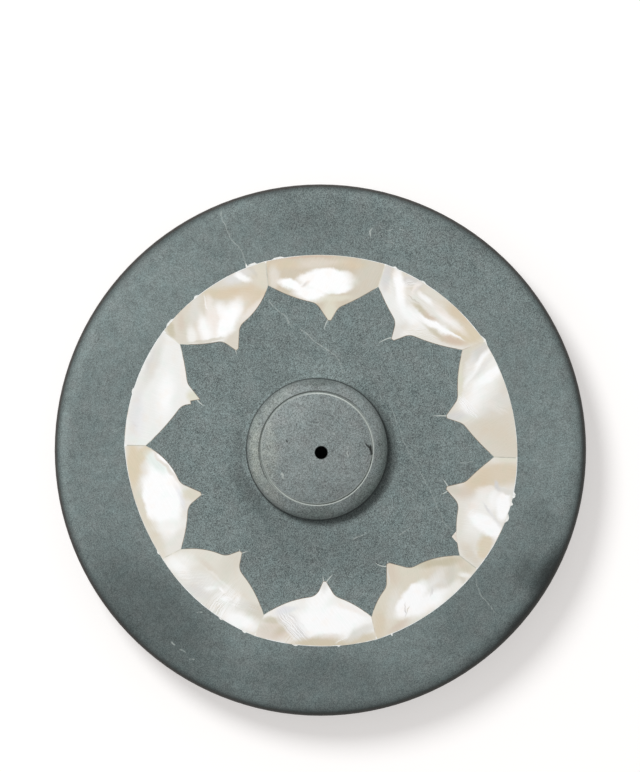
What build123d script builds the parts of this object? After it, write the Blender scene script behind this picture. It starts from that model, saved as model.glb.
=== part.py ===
from build123d import *
import os
from dataclasses import dataclass
from math import cos, degrees, floor, radians, sin, sqrt

# Incense stick holder: a round stone disc with a ring of pearl shell petals let into its face,
# and a low stone boss, glued to the middle, that holds the stick.
# Sizes are in millimetres and angles in degrees. The origin is at the middle of the underside,
# and +Z is up.

# Stone disc
disc_diameter = 100.0
disc_thickness = 10.0
top_edge_round = 3.3
bottom_edge_round = 1.0

# Ring of petals
rim_width = 13.0  # bare stone between the disc's edge and the petals
ring_shift_x = 0.22  # the ring's middle, off the disc's
ring_shift_y = 0.1
petal_count = 10
first_seam_angle = -1.1
seam_length = 4.5  # along the straight seam between two petals
petal_reach = 12.5  # from a petal's outer edge to its tip
tip_length = 2.9  # from the neck, where a petal narrows, to its tip
tip_width = 0.6  # of the tip's blunt end
neck_half_width = 2.05
neck_round = 2.4
side_radius = 25.0  # of a petal's swelling side, from the seam to the neck
petal_thickness = 1.2

# Cement and filler
cement_gap = 0.1  # between a petal and the edge of its place
cement_bed = 0.3  # under the petals
boss_film = 0.15  # under the boss
boss_film_setback = 0.5  # from the boss's foot to the edge of the film
overcut_width = 0.22
overcut_depth = 0.3
overcut_root = 0.6  # how far inside the petal's place an overcut starts
overcut_runs = 4  # straight runs along each side of an overcut

# Centre boss
boss_diameter = 26.7
boss_height = 4.0  # above the disc's face
boss_flat_diameter = 13.0
boss_roll_drop = 3.0  # of the rolled edge, from the flat down to the upright side
boss_foot_chamfer = 0.3
boss_groove_diameter = 21.1
boss_groove_width = 0.6
boss_groove_shift_x = -0.11  # the groove's middle, off the boss's
boss_groove_shift_y = 0.19
boss_shift_x = -0.6
boss_shift_y = 0.2

# Stick hole
stick_hole_diameter = 2.4
stick_hole_depth = 10.0
stick_hole_shift_x = 0.15
stick_hole_shift_y = -0.41

# Hand cutting: departures below are counted in steps of this length
saw_step = 0.1


@dataclass(frozen=True)
class HandCut:
    """How far one petal, and the seam before it, stray from an even ring.

    Turns are in degrees round the ring. Lengths are in saw steps, outwards from the ring's middle.
    A neck has two: how much wider it is, and how much further from the tip. The swells say how much
    further each side bows out than one of the side radius.
    """

    seam_turn: float
    seam_lean: float
    seam_inner: float
    seam_outer: float
    edge: float
    tip_turn: float
    tip: float
    neck_before: tuple
    neck_after: tuple
    swell_before: float
    swell_after: float


hand_cuts = [
    HandCut(-1.3, 0.0, -1.0, -2.0, -3.8, -2.2, -2.5, (0.0, -1.5), (7.0, 1.5), -1.5, 0.0),
    HandCut(0.4, -1.7, -1.0, -2.0, -2.5, 4.3, 0.5, (2.0, -2.0), (-7.5, 3.0), -1.5, -1.0),
    HandCut(-0.1, 0.2, -1.0, -1.5, -4.2, -2.4, -2.0, (-5.0, -3.5), (6.0, 3.0), -1.5, -0.5),
    HandCut(1.1, -1.5, -1.0, -0.5, 0.8, 5.2, 0.5, (12.0, 4.5), (-9.0, 2.0), 3.5, 0.0),
    HandCut(0.4, -0.2, 6.5, 1.5, 1.0, -2.6, 0.5, (2.5, 6.5), (0.0, 1.0), -1.0, -2.0),
    HandCut(-0.2, 0.0, 5.0, 0.5, -7.0, 3.1, -4.5, (12.0, 3.5), (-6.0, 3.0), 5.0, 0.0),
    HandCut(0.4, -0.9, -1.5, -7.5, -2.5, -1.2, -1.0, (-2.0, -3.5), (-3.0, 0.5), 3.0, 0.8),
    HandCut(-0.2, -0.5, 3.5, 1.5, -0.8, 2.4, 2.0, (-4.5, -0.5), (-1.0, 0.5), 2.0, 1.0),
    HandCut(-0.2, -0.5, 2.5, 1.0, -1.5, -4.7, 2.0, (4.5, 9.5), (12.0, 2.5), 2.0, 2.5),
    HandCut(-0.4, 0.0, 1.5, -1.5, 0.3, 2.1, 0.0, (2.0, 3.5), (1.0, 3.0), 1.5, -1.0),
]


@dataclass(frozen=True)
class Overcut:
    """A saw cut that ran on past a petal's tip.

    The heading is in degrees from straight in, counter-clockwise. Length and bow are in saw steps.
    """

    petal: int
    heading: float
    length: float
    bow: float


overcuts = [
    Overcut(0, -18.0, 29.0, -0.6),
    Overcut(1, -41.0, 30.0, -2.4),
    Overcut(2, -25.0, 21.0, -2.0),
    Overcut(3, -50.0, 10.0, 0.0),
    Overcut(4, -30.0, 13.0, 0.0),
    Overcut(5, -32.0, 7.0, 0.0),
    Overcut(6, -45.0, 14.0, 0.0),
    Overcut(6, 59.0, 7.0, 0.0),
    Overcut(7, 16.0, 12.0, 0.6),
    Overcut(7, -52.0, 21.0, 0.6),
    Overcut(8, 53.0, 26.0, 4.0),
    Overcut(8, -15.0, 6.0, 0.0),
    Overcut(9, -50.0, 20.0, -0.6),
    Overcut(9, 64.0, 17.0, 2.0),
]


@dataclass(frozen=True)
class Nick:
    """A filled chip at the outer edge of the ring.

    The angle is in degrees round the ring. Height, width and the top's width are in saw steps,
    and the height is counted from the petal's edge.
    """

    angle: float
    height: float
    width: float
    top: float


nicks = [
    Nick(34.0, 3.0, 22.0, 3.0),
    Nick(58.7, 2.3, 14.0, 3.0),
    Nick(68.0, 2.5, 10.0, 2.0),
    Nick(103.0, 2.6, 24.0, 12.0),
    Nick(110.6, 3.6, 18.0, 12.0),
    Nick(112.2, 7.5, 5.0, 0.5),
    Nick(129.4, 2.6, 12.0, 4.0),
    Nick(140.1, 2.4, 20.0, 12.0),
    Nick(162.6, 2.0, 12.0, 6.0),
    Nick(212.3, 2.0, 10.0, 3.0),
    Nick(239.2, 2.0, 10.0, 2.0),
    Nick(247.0, 2.4, 10.0, 3.0),
    Nick(262.3, 2.0, 12.0, 4.0),
    Nick(275.0, 2.0, 7.0, 1.5),
    Nick(290.8, 4.0, 4.0, 0.5),
    Nick(339.6, 4.4, 18.0, 5.0),
    Nick(344.0, 3.5, 8.0, 2.0),
    Nick(346.6, 3.8, 13.0, 6.0),
]


@dataclass(frozen=True)
class Chip:
    """A filled chip at a petal's inner side, the one before it (-1) or after it (1).

    The share says how far it is from the seam to the neck. Height, width and the top's width are
    in saw steps.
    """

    petal: int
    side: int
    share: float
    height: float
    width: float
    top: float


chips = [
    Chip(9, -1, 0.37, 8.0, 20.0, 1.5),
]


@dataclass(frozen=True)
class Notch:
    """Stone that stands in at the side of a petal's tip, the one before it (-1) or after it (1).

    The share says how far it starts from the neck to the tip. Its depths there and at the tip are
    in saw steps.
    """

    petal: int
    side: int
    share: float
    depth: float
    tip_depth: float


notches = [
    Notch(4, 1, 0.54, 5.0, 2.0),
]

disc_radius = disc_diameter / 2
ring_radius = disc_radius - rim_width
pitch = 360.0 / petal_count
boss_radius = boss_diameter / 2
holder_height = disc_thickness + boss_height


def hand_cut(index):
    """The hand cut row of a petal, counted round the ring."""
    return hand_cuts[index % petal_count % len(hand_cuts)]


def on_ring(radius, angle):
    """A plan point at a radius and an angle about the ring's middle."""
    x = ring_shift_x + radius * cos(radians(angle))
    y = ring_shift_y + radius * sin(radians(angle))
    return Vector(x, y)


def bowed_cut(start, end, bow):
    """A cut from point to point that swings to the left of the straight line by the bow."""
    along = (end - start).normalized()
    left = Vector(-along.Y, along.X)
    return ThreePointArc(start, (start + end) * 0.5 + left * bow, end)


def seam(index):
    """The inner and outer ends of the seam before a petal."""
    cut = hand_cut(index)
    angle = first_seam_angle + pitch * index + cut.seam_turn
    inner = on_ring(ring_radius - seam_length + cut.seam_inner * saw_step, angle)
    outer = on_ring(ring_radius + cut.seam_outer * saw_step, angle + cut.seam_lean)
    return inner, outer


def tip_place(index):
    """The radius and angle of a petal's tip."""
    cut = hand_cut(index)
    radius = ring_radius - petal_reach + cut.tip * saw_step
    angle = first_seam_angle + pitch * (index + 0.5) + cut.tip_turn
    return radius, angle


def tip_end(index, side):
    """The end of a petal's blunt tip, before its middle (-1) or after it (1)."""
    radius, angle = tip_place(index)
    return on_ring(radius, angle + side * degrees(tip_width / 2 / radius))


def edge_stray(angle):
    """How many saw steps the petals' outer edge strays from the ring at an angle."""
    turns = (angle - first_seam_angle) / pitch
    index = floor(turns)
    share = turns - index
    before = hand_cut(index).seam_outer * (1 - share) * (1 - 2 * share)
    middle = hand_cut(index).edge * 4 * share * (1 - share)
    after = hand_cut(index + 1).seam_outer * share * (2 * share - 1)
    return before + middle + after


def neck(index, stray, side):
    """The corner where a petal narrows to its tip, on the side before it (-1) or after it (1)."""
    tip_radius, tip_angle = tip_place(index)
    wider, further = stray
    radius = tip_radius + tip_length + further * saw_step
    half_width = neck_half_width + wider * saw_step
    return on_ring(radius, tip_angle + side * degrees(half_width / radius))


def side_bow(start, end):
    """How far a side of the side radius swells past the straight line between two points."""
    half = (end - start).length / 2
    return side_radius - sqrt(side_radius**2 - half**2)


def petal_plan(index):
    """The plan of one petal's place, out to the middle of the seams beside it."""
    cut = hand_cut(index)
    inner_before, outer_before = seam(index)
    inner_after, outer_after = seam(index + 1)
    edge_angle = first_seam_angle + pitch * (index + 0.5)
    edge_middle = on_ring(ring_radius + cut.edge * saw_step, edge_angle)
    tip_before = tip_end(index, -1)
    tip_after = tip_end(index, 1)
    neck_before = neck(index, cut.neck_before, -1)
    neck_after = neck(index, cut.neck_after, 1)
    bow_before = side_bow(neck_before, inner_before) + cut.swell_before * saw_step
    bow_after = side_bow(inner_after, neck_after) + cut.swell_after * saw_step
    outline = [
        ThreePointArc(outer_before, edge_middle, outer_after),
        Line(outer_after, inner_after),
        bowed_cut(inner_after, neck_after, -bow_after),
        Line(neck_after, tip_after),
        Line(tip_after, tip_before),
        Line(tip_before, neck_before),
        bowed_cut(neck_before, inner_before, -bow_before),
        Line(inner_before, outer_before),
    ]
    corners = make_face(outline).vertices()
    necks = [corners.sort_by_distance(place)[0] for place in (neck_before, neck_after)]
    plan = fillet(necks, neck_round)
    for notch in notches:
        if notch.petal == index:
            plan = plan - notch_plan(notch)
    return plan


def notch_plan(notch):
    """The plan of one notch, run on past the petal's tip."""
    cut = hand_cut(notch.petal)
    stray = cut.neck_after if notch.side > 0 else cut.neck_before
    corner = neck(notch.petal, stray, notch.side)
    tip = tip_end(notch.petal, notch.side)
    run = tip - corner
    inward = Vector(-run.Y, run.X).normalized() * -notch.side
    start = corner + run * notch.share
    beyond = tip + run.normalized() * overcut_root
    clear = inward * -overcut_root
    step = inward * (notch.depth * saw_step)
    tip_step = inward * (notch.tip_depth * saw_step)
    corners = [start + clear, start + step, tip + tip_step, beyond + tip_step, beyond + clear]
    return make_face(Polyline(*corners, close=True))


def overcut_plan(overcut):
    """The plan of one overcut: widest near the tip that it starts behind, and pointed at its end."""
    tip_radius, tip_angle = tip_place(overcut.petal)
    heading = radians(tip_angle + 180.0 + overcut.heading)
    root = on_ring(tip_radius + overcut_root, tip_angle)
    reach = overcut.length * saw_step
    end = on_ring(tip_radius, tip_angle) + Vector(reach * cos(heading), reach * sin(heading))
    run = end - root
    left = Vector(-run.Y, run.X).normalized()
    left_side = []
    right_side = []
    for step in range(overcut_runs):
        share = step / overcut_runs
        middle = root + run * share + left * (overcut.bow * saw_step * 4 * share * (1 - share))
        half_width = left * (overcut_width / 2 * (1 - share**2))
        left_side.append(middle + half_width)
        right_side.append(middle - half_width)
    return make_face(Polyline(*left_side, end, *reversed(right_side), close=True))


def chip_plan(base, outward, shape):
    """The plan of one chip or nick: it stands on a point of a petal's edge and narrows outwards."""
    across = Vector(-outward.Y, outward.X)
    edge = across * (shape.width * saw_step / 2)
    top = across * (shape.top * saw_step / 2)
    apex = base + outward * (shape.height * saw_step)
    root = base - outward * overcut_root
    corners = [root - edge, base - edge, apex - top, apex + top, base + edge, root + edge]
    return make_face(Polyline(*corners, close=True))


def nick_plan(nick):
    """The plan of one nick."""
    outward = on_ring(1.0, nick.angle) - on_ring(0.0, nick.angle)
    edge = ring_radius + edge_stray(nick.angle) * saw_step
    return chip_plan(on_ring(edge, nick.angle), outward, nick)


def side_chip_plan(chip):
    """The plan of one chip at a petal's inner side."""
    cut = hand_cut(chip.petal)
    start = seam(chip.petal)[0]
    stray = cut.neck_before
    if chip.side > 0:
        start = seam(chip.petal + 1)[0]
        stray = cut.neck_after
    end = neck(chip.petal, stray, chip.side)
    run = end - start
    outward = Vector(-run.Y, run.X).normalized() * -chip.side
    extra = cut.swell_after if chip.side > 0 else cut.swell_before
    bow = side_bow(start, end) + extra * saw_step
    swell = bow * 4 * chip.share * (1 - chip.share)
    return chip_plan(start + run * chip.share + outward * swell, outward, chip)


def sunk(plan, depth, thickness):
    """A plan as a solid whose floor is a depth below the disc's face."""
    return extrude(Pos(0, 0, disc_thickness - depth) * plan, thickness)


def stick_hole():
    """The drilled hole, from the boss's top down into the disc."""
    middle = holder_height - stick_hole_depth / 2
    place = Pos(stick_hole_shift_x, stick_hole_shift_y, middle)
    return place * Cylinder(stick_hole_diameter / 2, stick_hole_depth)


def stone_disc(hollows):
    """The disc with its edges rounded, and everything that is let into it cut away."""
    disc = Pos(0, 0, disc_thickness / 2) * Cylinder(disc_radius, disc_thickness)
    disc = fillet(disc.edges().group_by(Axis.Z)[-1], top_edge_round)
    disc = fillet(disc.edges().group_by(Axis.Z)[0], bottom_edge_round)
    return disc - hollows


def centre_boss(hole):
    """The boss: a flat top, a rolled edge with a vee groove, and a chamfered foot on the cement film."""
    foot = disc_thickness + boss_film
    shoulder = holder_height - boss_roll_drop
    flat_radius = boss_flat_diameter / 2
    roll_width = boss_radius - flat_radius
    profile = make_face(
        [
            Line((0, foot), (boss_radius - boss_foot_chamfer, foot)),
            Line((boss_radius - boss_foot_chamfer, foot), (boss_radius, foot + boss_foot_chamfer)),
            Line((boss_radius, foot + boss_foot_chamfer), (boss_radius, shoulder)),
            EllipticalCenterArc((flat_radius, shoulder), roll_width, boss_roll_drop, 0, arc_size=90),
            Line((flat_radius, holder_height), (0, holder_height)),
            Line((0, holder_height), (0, foot)),
        ]
    )
    groove_radius = boss_groove_diameter / 2
    out_on_roll = max(0.0, groove_radius - flat_radius) / roll_width
    groove_height = shoulder + boss_roll_drop * sqrt(1 - out_on_roll**2)
    vee_side = boss_groove_width / sqrt(2)
    groove = Pos(groove_radius, groove_height) * Rot(0, 0, 45) * Rectangle(vee_side, vee_side)
    groove_ring = Pos(boss_groove_shift_x, boss_groove_shift_y, 0) * revolve(Plane.XZ * groove, Axis.Z)
    boss = revolve(Plane.XZ * profile, Axis.Z) - groove_ring
    return Pos(boss_shift_x, boss_shift_y, 0) * boss - hole


def boss_cement(hole):
    """The film of cement between the boss and the disc."""
    film = Cylinder(boss_radius - boss_film_setback, boss_film)
    return Pos(boss_shift_x, boss_shift_y, disc_thickness + boss_film / 2) * film - hole


hole = stick_hole()
petal_plans = [petal_plan(index) for index in range(petal_count)]
pocket_depth = petal_thickness + cement_bed
pocket = Part() + [sunk(plan, pocket_depth, pocket_depth) for plan in petal_plans]
petals = [
    sunk(offset(plan, amount=-cement_gap), petal_thickness, petal_thickness) for plan in petal_plans
]
filler_plans = [overcut_plan(overcut) for overcut in overcuts if overcut.petal < petal_count]
filler_plans += [nick_plan(nick) for nick in nicks]
filler_plans += [side_chip_plan(chip) for chip in chips if chip.petal < petal_count]
filler = Part() + [sunk(plan, overcut_depth, overcut_depth) for plan in filler_plans] - pocket

nodes = {
    "stone_disc": stone_disc([pocket, hole, filler]),
    "centre_boss": centre_boss(hole),
    "boss_cement": boss_cement(hole),
    "inlay_cement": pocket - petals,
    "overcut_filler": Compound(children=filler.solids()),
}
for number, petal in enumerate(petals, start=1):
    nodes[f"pearl_petal_{number:02d}"] = petal

os.makedirs("parts", exist_ok=True)
for name, shape in nodes.items():
    export_step(shape, f"parts/{name}.step")
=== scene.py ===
import logging
from dataclasses import dataclass
from enum import Enum
from functools import cached_property, reduce
from math import atan2, cos, degrees, hypot, pi, radians, sin
from typing import Any, Optional, Union

import bmesh
import bpy
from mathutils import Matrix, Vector

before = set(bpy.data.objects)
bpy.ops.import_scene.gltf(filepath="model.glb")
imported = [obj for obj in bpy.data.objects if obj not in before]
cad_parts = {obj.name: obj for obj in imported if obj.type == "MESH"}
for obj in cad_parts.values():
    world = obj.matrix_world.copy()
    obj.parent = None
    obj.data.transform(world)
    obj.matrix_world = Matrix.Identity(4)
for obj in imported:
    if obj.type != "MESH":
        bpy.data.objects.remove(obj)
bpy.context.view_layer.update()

log = logging.getLogger("incense_stick_holder")

Point = tuple[float, float]
Place = tuple[float, float, float]
Colour = tuple[float, float, float]

# Sizes are in millimetres unless a comment says otherwise, and angles are in degrees.
MM = 0.001
IMAGE_WIDTH = 640  # pixels
IMAGE_HEIGHT = 772

# Measures of the solids that more than one finish needs, from the middle of the disc.
RING_MIDDLE: Place = (0.22, 0.1, 0.0)
BOSS_MIDDLE: Place = (-0.6, 0.2, 0.0)
HOLE_MIDDLE: Point = (0.15, -0.41)
HOLE_RADIUS = 1.2

# The side that the light comes from in the picture.
LIT_SIDE: Place = (-0.62, 0.78, 0.0)


def linear(red: int, green: int, blue: int) -> Colour:
    """Turns a colour as a screen shows it into the amounts of light that a shader takes.

    Args:
        red: Screen value of red, from 0 to 255.
        green: Screen value of green.
        blue: Screen value of blue.

    Returns:
        The three amounts, from 0 to 1.
    """
    shares = [value / 255 for value in (red, green, blue)]
    low_part = 0.04045
    curve = [s / 12.92 if s <= low_part else ((s + 0.055) / 1.055) ** 2.4 for s in shares]
    return (curve[0], curve[1], curve[2])


def flat(point: Point) -> Place:
    """The point as a place at no height."""
    return (point[0], point[1], 0.0)


class Signal:
    """One output of a shader node, which can stand in Python sums."""

    def __init__(self, sheet: "NodeSheet", socket: bpy.types.NodeSocket) -> None:
        """Keeps the sheet that the node is on, and the socket."""
        self.sheet = sheet
        self.socket = socket

    @property
    def is_vector(self) -> bool:
        """Whether the signal is a place or a direction."""
        return self.socket.type == "VECTOR"

    def combine(self, operation: str, first: "Operand", second: "Operand", output: int = 0) -> "Signal":
        """Adds the Math or Vector Math node of an operation on two operands.

        Args:
            operation: The node's operation.
            first: Its first operand.
            second: Its second operand.
            output: Which output to return.

        Returns:
            The result.
        """
        vector = any(isinstance(part, Signal) and part.is_vector for part in (first, second))
        kind = "ShaderNodeVectorMath" if vector else "ShaderNodeMath"
        return self.sheet.node(kind, {"operation": operation}, {0: first, 1: second}, output)

    def __add__(self, other: "Operand") -> "Signal":
        """The sum."""
        return self.combine("ADD", self, other)

    def __sub__(self, other: "Operand") -> "Signal":
        """The difference."""
        return self.combine("SUBTRACT", self, other)

    def __rsub__(self, other: "Operand") -> "Signal":
        """The difference, taken from a number."""
        return self.combine("SUBTRACT", other, self)

    def __mul__(self, other: "Operand") -> "Signal":
        """The product."""
        return self.combine("MULTIPLY", self, other)

    def dot(self, other: "Operand") -> "Signal":
        """The dot product of two vectors."""
        return self.combine("DOT_PRODUCT", self, other, 1)

    def distance(self, other: "Operand") -> "Signal":
        """The distance between two places."""
        return self.combine("DISTANCE", self, other, 1)

    def length(self) -> "Signal":
        """The length of a vector."""
        return self.sheet.node("ShaderNodeVectorMath", {"operation": "LENGTH"}, {0: self}, 1)

    def clamped(self) -> "Signal":
        """The number, kept between 0 and 1."""
        return self.sheet.node("ShaderNodeClamp", None, {0: self})

    def least(self, other: "Operand") -> "Signal":
        """The smaller of two numbers."""
        return self.combine("MINIMUM", self, other)

    def most(self, other: "Operand") -> "Signal":
        """The larger of two numbers."""
        return self.combine("MAXIMUM", self, other)

    def ramp(self, low: float, high: float, bottom: float = 0.0, top: float = 1.0) -> "Signal":
        """Eases from the level bottom, at low, to the level top, at high, and holds them beyond."""
        levels = {0: self, 1: low, 2: high, 3: bottom, 4: top}
        return self.sheet.node("ShaderNodeMapRange", {"interpolation_type": "SMOOTHSTEP"}, levels)

    def band(self, middle: float, far: float, near: float) -> "Signal":
        """A band about a middle value: 1 within near of it, and 0 beyond far."""
        away = self - middle
        return away.ramp(-far, -near) * away.ramp(far, near)


Operand = Union[Signal, float, tuple]


class NodeSheet:
    """A node tree that is filled from Python expressions."""

    def __init__(self, tree: bpy.types.NodeTree) -> None:
        """Clears the tree."""
        tree.nodes.clear()
        self.tree = tree

    def node(
        self,
        kind: str,
        settings: Optional[dict[str, Any]] = None,
        inputs: Optional[dict[Union[int, str], Any]] = None,
        output: Union[int, str] = 0,
    ) -> Signal:
        """Adds a node of any type.

        Args:
            kind: The node's type.
            settings: Its own settings, set first.
            inputs: Values or signals for its sockets, by number or name.
            output: Which output to return.

        Returns:
            The output, as a signal.
        """
        made = self.tree.nodes.new(kind)
        for name, value in (settings or {}).items():
            setattr(made, name, value)
        for key, value in (inputs or {}).items():
            self.feed(made.inputs[key], value)
        return Signal(self, made.outputs[output])

    def feed(self, socket: bpy.types.NodeSocket, value: Any) -> None:
        """Links a signal to a socket, or sets the socket's own value.

        Args:
            socket: The socket.
            value: A signal, a number or a row of numbers.
        """
        if isinstance(value, Signal):
            self.tree.links.new(value.socket, socket)
        elif socket.type == "RGBA" and len(value) == 3:
            socket.default_value = (*value, 1.0)
        elif socket.type == "VECTOR" and isinstance(value, (int, float)):
            socket.default_value = (value, value, value)
        else:
            socket.default_value = value

    def show(self, surface: Signal, kind: str = "ShaderNodeOutputMaterial") -> None:
        """Links a finished shader to a new output node of the type given."""
        made = self.tree.nodes.new(kind)
        self.tree.links.new(surface.socket, made.inputs["Surface"])

    @cached_property
    def place(self) -> Signal:
        """The place on the piece, in millimetres from the middle of the holder's underside."""
        return self.node("ShaderNodeTexCoord", None, None, "Object") * (1 / MM)

    @cached_property
    def plan(self) -> Signal:
        """The place on the piece, seen from above."""
        return self.place * (1.0, 1.0, 0.0)

    def mix(self, share: Operand, first: Any, second: Any, blend: str = "MIX") -> Signal:
        """Blends two colours, taking a share of the second from 0 to 1."""
        settings = {"data_type": "RGBA", "blend_type": blend}
        return self.node("ShaderNodeMix", settings, {0: share, 6: first, 7: second}, 2)

    def noise(self, where: Signal, grain: float, detail: float = 2.0, twist: float = 0.0) -> Signal:
        """Cloudy noise, mostly between -0.3 and 0.3, with clouds of the grain's size."""
        sockets = {"Vector": where, "Scale": 1 / grain, "Detail": detail, "Distortion": twist}
        return self.node("ShaderNodeTexNoise", None, sockets) - 0.5

    def cells(self, where: Signal, grain: float) -> Signal:
        """Little crystals of the grain's size, each of one level between -0.5 and 0.5."""
        return self.node("ShaderNodeTexVoronoi", None, {"Vector": where, "Scale": 1 / grain}, "Color") - 0.5

    def wander(self, where: Signal, grain: float, reach: float) -> Signal:
        """A place pushed about by noise, so that what is drawn there gets a natural outline.

        Args:
            where: The place.
            grain: The size of one wave of the outline.
            reach: How far the place is pushed.

        Returns:
            The new place.
        """
        sockets = {"Vector": where, "Scale": 1 / grain, "Detail": 2.0}
        cloud = self.node("ShaderNodeTexNoise", None, sockets, "Color")
        push = self.node("ShaderNodeVectorMath", {"operation": "SUBTRACT"}, {0: cloud, 1: 0.5})
        return where + push * (reach, reach, 0.0)

    def oval(self, where: Signal, middle: Point, half: Point, turn: float) -> Signal:
        """The place as an oval sees it: 0 at its middle, and 1 from there at its outline.

        Args:
            where: The place.
            middle: The oval's middle.
            half: Its half length and half width.
            turn: The direction of its length.

        Returns:
            The place, along the oval and across it.
        """
        sockets = {
            "Vector": where,
            "Location": flat(middle),
            "Rotation": (0.0, 0.0, radians(turn)),
            "Scale": (half[0], half[1], 1.0),
        }
        return self.node("ShaderNodeMapping", {"vector_type": "TEXTURE"}, sockets)

    def line_distance(self, where: Signal, line: tuple[Point, ...]) -> Signal:
        """How far a place is from a line of straight runs.

        Args:
            where: The place.
            line: The line's points.

        Returns:
            The distance.
        """
        distances = []
        for start, end in zip(line, line[1:]):
            run = Vector((end[0] - start[0], end[1] - start[1], 0.0))
            away = where - flat(start)
            share = away.dot(tuple(run / run.length_squared)).clamped()
            nearest = self.node("ShaderNodeVectorMath", {"operation": "SCALE"}, {0: tuple(run), 3: share})
            distances.append(away.distance(nearest))
        return reduce(Signal.least, distances)


class Tint(Enum):
    """The colours of the shell, as a screen shows them."""

    # BRIGHT and MILK are the nacre's pearly white with painted highlight: the lamp's glare on the polished
    # shell is painted into them.
    BRIGHT = (254, 254, 254)
    MILK = (242, 241, 237)
    FROST = (237, 237, 234)
    BISCUIT = (206, 195, 176)
    PALE = (230, 227, 220)
    BONE = (224, 220, 209)
    OAT = (216, 210, 197)
    GREY_WHITE = (222, 220, 214)
    LAVENDER = (226, 226, 230)
    LILAC_GREY = (212, 210, 209)
    ROSE_WHITE = (241, 234, 228)
    ROSE = (211, 198, 183)
    CREAM = (219, 212, 196)
    TAN = (214, 199, 175)
    GOLD = (216, 203, 178)
    KHAKI = (206, 195, 172)
    OLIVE = (198, 190, 167)
    GREEN_CREAM = (222, 219, 202)
    SEA_WHITE = (228, 236, 231)
    BROWN_ROSE = (207, 187, 168)
    SHELL_GREY = (209, 204, 191)
    SHELL_BROWN = (190, 179, 163)

    @property
    def light(self) -> Colour:
        """The tint as a shader takes it."""
        return linear(*self.value)


@dataclass(frozen=True)
class Finish:
    """How one kind of surface looks."""

    name: str

    def sockets(self, sheet: NodeSheet) -> dict[str, Any]:
        """What goes into the surface shader's sockets, by their names."""
        raise NotImplementedError

    def material(self) -> bpy.types.Material:
        """Makes the material.

        Returns:
            The new material.
        """
        made = bpy.data.materials.new(self.name)
        made.use_nodes = True
        sheet = NodeSheet(made.node_tree)
        sheet.show(sheet.node("ShaderNodeBsdfPrincipled", None, self.sockets(sheet)))
        return made


@dataclass(frozen=True)
class Patch:
    """A soft-edged oval of stone that is darker or paler than the rest."""

    middle: Point
    half: Point
    turn: float
    gain: float


@dataclass(frozen=True)
class SmearAndShade:
    """A soft-edged oval where dust or dirt, with painted light and shade on the boss's rolled edge, tints
    the stone.
    """

    middle: Point
    half: Point
    turn: float
    tint: Colour
    strength: float


@dataclass(frozen=True)
class Vein:
    """A hairline of another colour in the stone, or a scratch on it."""

    line: tuple[Point, ...]
    width: float
    strength: float


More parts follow.
